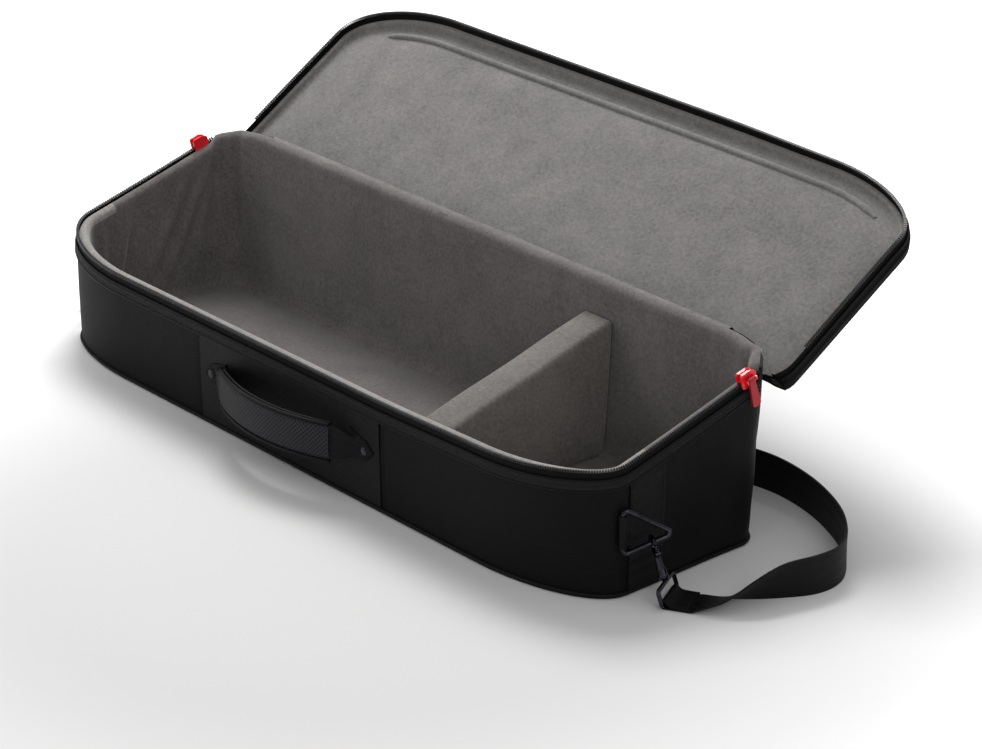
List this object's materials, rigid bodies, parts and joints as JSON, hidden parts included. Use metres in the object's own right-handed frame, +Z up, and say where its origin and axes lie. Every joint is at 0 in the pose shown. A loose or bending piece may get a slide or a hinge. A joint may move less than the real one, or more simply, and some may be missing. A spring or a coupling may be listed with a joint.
{
  "type": "guitar pedal case",
  "caption": "Long zipped soft case for effects pedals: padded base rising to the rear, shallow hinged lid, movable divider, front carry handle and clip-on shoulder strap.",
  "frame": {"origin": "centre of the bottom, on the surface the case stands on", "axes": "+X along the case to its right end as seen from the handle, -Y out of the front with the handle, +Z up"},
  "size_m": [1.009, 0.4865, 0.2927],
  "materials": {
    "bottom_nylon": "coated weave, matt",
    "shell_nylon": "coarse weave, slight sheen",
    "panel_nylon": "honeycomb weave",
    "rim_webbing": "ribbed webbing",
    "binding": "bound piping",
    "board": "matt",
    "foam": "open-cell foam",
    "base_plush": "short plush",
    "lid_plush": "short plush",
    "divider_plush": "short plush",
    "grip_tape": "hook tape",
    "zip_tape": "fine weave",
    "zip_teeth": "coiled, semi-gloss",
    "slider_red": "gloss enamel",
    "pull_red": "satin",
    "handle_nylon": "mesh over padding",
    "webbing": "herringbone webbing",
    "rivet_steel": "satin",
    "dark_chrome": "polished dark plating",
    "adjuster_plastic": "matt"
  },
  "bodies": {
    "case": {"bottom_panel": "bottom_nylon", "bottom_piping": "binding", "outer_wall": "shell_nylon", "front_panel": "panel_nylon", "rim_band": "rim_webbing", "floor_board": "board", "floor_pad": "foam", "front_wall_pad": "foam", "rear_wall_pad": "foam", "left_end_pad": "foam", "right_end_pad": "foam", "base_lining": "base_plush", "base_zip_tape": "zip_tape", "base_zip_teeth": "zip_teeth", "fold_piping": "lid_plush", "hinge_fabric": "shell_nylon", "handle_end_right": "handle_nylon", "handle_end_left": "handle_nylon", "handle_anchors": "handle_nylon", "handle_rivets": "rivet_steel", "end_strip_right": "webbing", "end_strip_left": "webbing", "ring_tab_right": "webbing", "ring_tab_left": "webbing", "swivel_eye_right": "dark_chrome", "swivel_eye_left": "dark_chrome", "strap_end_right": "webbing", "strap_end_left": "webbing", "shoulder_strap": "webbing"},
    "lid": {"lid_cover": "shell_nylon", "lid_rim_wall": "shell_nylon", "lid_pad": "foam", "lid_rim_pad": "foam", "lid_lining": "lid_plush", "lid_roll": "lid_plush", "lid_zip_tape": "zip_tape", "lid_zip_teeth": "zip_teeth"},
    "divider": {"divider_cover": "divider_plush", "divider_core": "foam", "divider_grip_strips": "grip_tape"},
    "handle": {"carry_handle": "handle_nylon", "handle_piping": "binding"},
    "adjuster": {"strap_adjuster": "adjuster_plastic"},
    "slider_right": {"zip_slider_right": "slider_red"},
    "pull_right": {"zip_pull_right": "pull_red"},
    "ring_right": {"triangle_ring_right": "dark_chrome"},
    "hook_right": {"snap_hook_right": "dark_chrome", "hook_barrel_right": "dark_chrome"},
    "gate_right": {"hook_gate_right": "dark_chrome"},
    "slider_left": {"zip_slider_left": "slider_red"},
    "pull_left": {"zip_pull_left": "pull_red"},
    "ring_left": {"triangle_ring_left": "dark_chrome"},
    "hook_left": {"snap_hook_left": "dark_chrome", "hook_barrel_left": "dark_chrome"},
    "gate_left": {"hook_gate_left": "dark_chrome"}
  },
  "joints": [
    {"name": "lid_hinge", "type": "hinge", "parent": "case", "child": "lid", "pos_m": [0, 0.10951, 0.17213], "axis": [1, 0, 0], "range_deg": [0, 163.3], "deforming": ["hinge_fabric"]},
    {"name": "divider_slide", "type": "slide", "parent": "case", "child": "divider", "axis": [1, 0, 0], "range_m": [-0.43, 0.07]},
    {"name": "handle_lift", "type": "hinge", "parent": "case", "child": "handle", "pos_m": [0, -0.133, 0.058], "axis": [-1, 0, 0], "range_deg": [-20, 25], "deforming": ["handle_end_right", "handle_end_left"]},
    {"name": "adjuster_slide", "type": "slide", "parent": "case", "child": "adjuster", "axis": [1, 0, 0], "range_m": [-0.12, 0.12]},
    {"name": "slider_right_slide", "type": "slide", "parent": "case", "child": "slider_right", "axis": [0, -0.9609, -0.2768], "range_m": [0, 0.125]},
    {"name": "pull_right_swing", "type": "hinge", "parent": "slider_right", "child": "pull_right", "pos_m": [0.42546, 0.07635, 0.17299], "axis": [0, -0.9609, -0.2768], "range_deg": [0, 150]},
    {"name": "ring_right_swing", "type": "hinge", "parent": "case", "child": "ring_right", "pos_m": [0.42396, -0.075, 0.068], "axis": [0, 0, 1], "range_deg": [-2.5, 2.5]},
    {"name": "hook_right_swivel", "type": "hinge", "parent": "case", "child": "hook_right", "pos_m": [0.43725, -0.04925, 0.0513], "axis": [-0.2676, -0.1545, 0.9511], "range_deg": [-12, 12]},
    {"name": "gate_right_press", "type": "hinge", "parent": "hook_right", "child": "gate_right", "pos_m": [0.4451, -0.05201, 0.04738], "axis": [-0.4348, -0.8615, -0.2623], "range_deg": [0, 22], "stiffness_Nm_per_rad": 0.02, "springref_deg": -5.73},
    {"name": "slider_left_slide", "type": "slide", "parent": "case", "child": "slider_left", "axis": [0, -0.9609, -0.2768], "range_m": [0, 0.125]},
    {"name": "pull_left_swing", "type": "hinge", "parent": "slider_left", "child": "pull_left", "pos_m": [-0.42546, 0.07635, 0.17299], "axis": [0, 0.9609, 0.2768], "range_deg": [0, 150]},
    {"name": "ring_left_swing", "type": "hinge", "parent": "case", "child": "ring_left", "pos_m": [-0.42396, -0.075, 0.068], "axis": [0, 0, 1], "range_deg": [-2.5, 2.5]},
    {"name": "hook_left_swivel", "type": "hinge", "parent": "case", "child": "hook_left", "pos_m": [-0.44236, -0.05245, 0.0513], "axis": [0.1057, -0.2904, 0.9511], "range_deg": [-12, 12]},
    {"name": "gate_left_press", "type": "hinge", "parent": "hook_left", "child": "gate_left", "pos_m": [-0.44877, -0.05543, 0.04542], "axis": [-0.6111, 0.7355, 0.2925], "range_deg": [0, 22], "stiffness_Nm_per_rad": 0.02, "springref_deg": -5.73}
  ]
}
